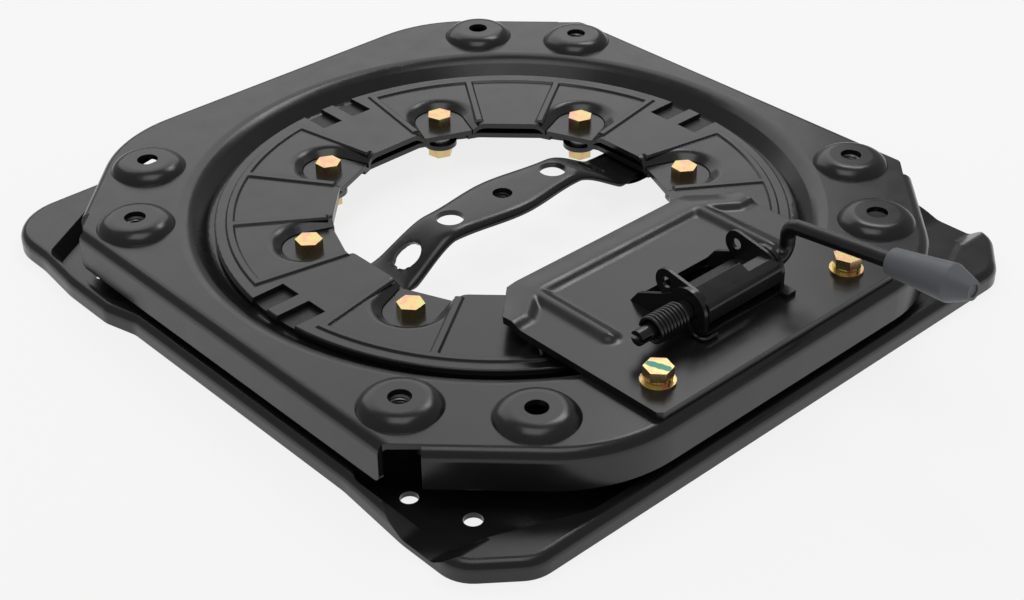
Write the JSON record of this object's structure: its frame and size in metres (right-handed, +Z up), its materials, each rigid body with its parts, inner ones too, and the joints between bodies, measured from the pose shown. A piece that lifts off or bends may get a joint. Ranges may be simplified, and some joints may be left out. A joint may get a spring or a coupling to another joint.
{
  "type": "swivel seat base",
  "caption": "Pressed steel swivel base for a camper seat: base plate, turning top plate, retaining ring and a sprung lever lock with a grip.",
  "frame": {"origin": "on the turning axis, at the base plate's underside", "axes": "+Z up along the turning axis, -Y towards the lever's grip, +X to the side of the crank"},
  "size_m": [0.4012, 0.4797, 0.0905],
  "materials": {
    "black_steel": "black coat, satin",
    "yellow_zinc": "yellow passivated zinc",
    "plain_steel": "turned, oiled",
    "spring_steel": "black oiled",
    "grey_plastic": "dipped soft plastic",
    "glide_plastic": "moulded"
  },
  "bodies": {
    "base": {"base_plate": "black_steel", "cross_bar": "black_steel", "clamp_ring": "black_steel", "retaining_ring": "black_steel", "lower_glide_ring": "glide_plastic", "upper_glide_ring": "glide_plastic", "ring_bolt_1": "yellow_zinc", "ring_bolt_2": "yellow_zinc", "ring_bolt_3": "yellow_zinc", "ring_bolt_4": "yellow_zinc", "ring_bolt_5": "yellow_zinc", "ring_bolt_6": "yellow_zinc", "ring_bolt_7": "yellow_zinc", "ring_bolt_8": "yellow_zinc", "ring_nut_1": "yellow_zinc", "ring_nut_2": "yellow_zinc", "ring_nut_3": "yellow_zinc", "ring_nut_4": "yellow_zinc", "ring_nut_5": "yellow_zinc", "ring_nut_6": "yellow_zinc", "ring_nut_7": "yellow_zinc", "ring_nut_8": "yellow_zinc", "spacer_bush_1": "plain_steel", "spacer_bush_2": "plain_steel", "spacer_bush_3": "plain_steel", "spacer_bush_4": "plain_steel", "spacer_bush_5": "plain_steel", "spacer_bush_6": "plain_steel", "spacer_bush_7": "plain_steel", "spacer_bush_8": "plain_steel", "bar_nut": "plain_steel"},
    "top": {"top_plate": "black_steel", "lock_plate": "black_steel", "latch_bracket": "black_steel", "torsion_spring": "spring_steel", "weld_nut_1": "plain_steel", "weld_nut_2": "plain_steel", "weld_nut_3": "plain_steel", "weld_nut_4": "plain_steel", "lock_bolt_left": "yellow_zinc", "lock_bolt_right": "yellow_zinc", "lock_nut_left": "yellow_zinc", "lock_nut_right": "yellow_zinc", "spring_washer_left": "yellow_zinc", "spring_washer_right": "yellow_zinc", "flat_washer_left": "yellow_zinc", "flat_washer_right": "yellow_zinc"},
    "lever": {"lever_rod": "black_steel", "lock_pawl": "black_steel", "lever_grip": "grey_plastic", "rod_clip": "spring_steel"}
  },
  "joints": [
    {"name": "swivel", "type": "hinge", "parent": "base", "child": "top", "pos_m": [0, 0, 0], "axis": [0, 0, 1], "continuous": true},
    {"name": "lever_turn", "type": "hinge", "parent": "top", "child": "lever", "pos_m": [0, -0.1625, 0.0532], "axis": [1, 0, 0], "range_deg": [-12, 14], "stiffness_Nm_per_rad": 2, "springref_deg": -20.05}
  ]
}
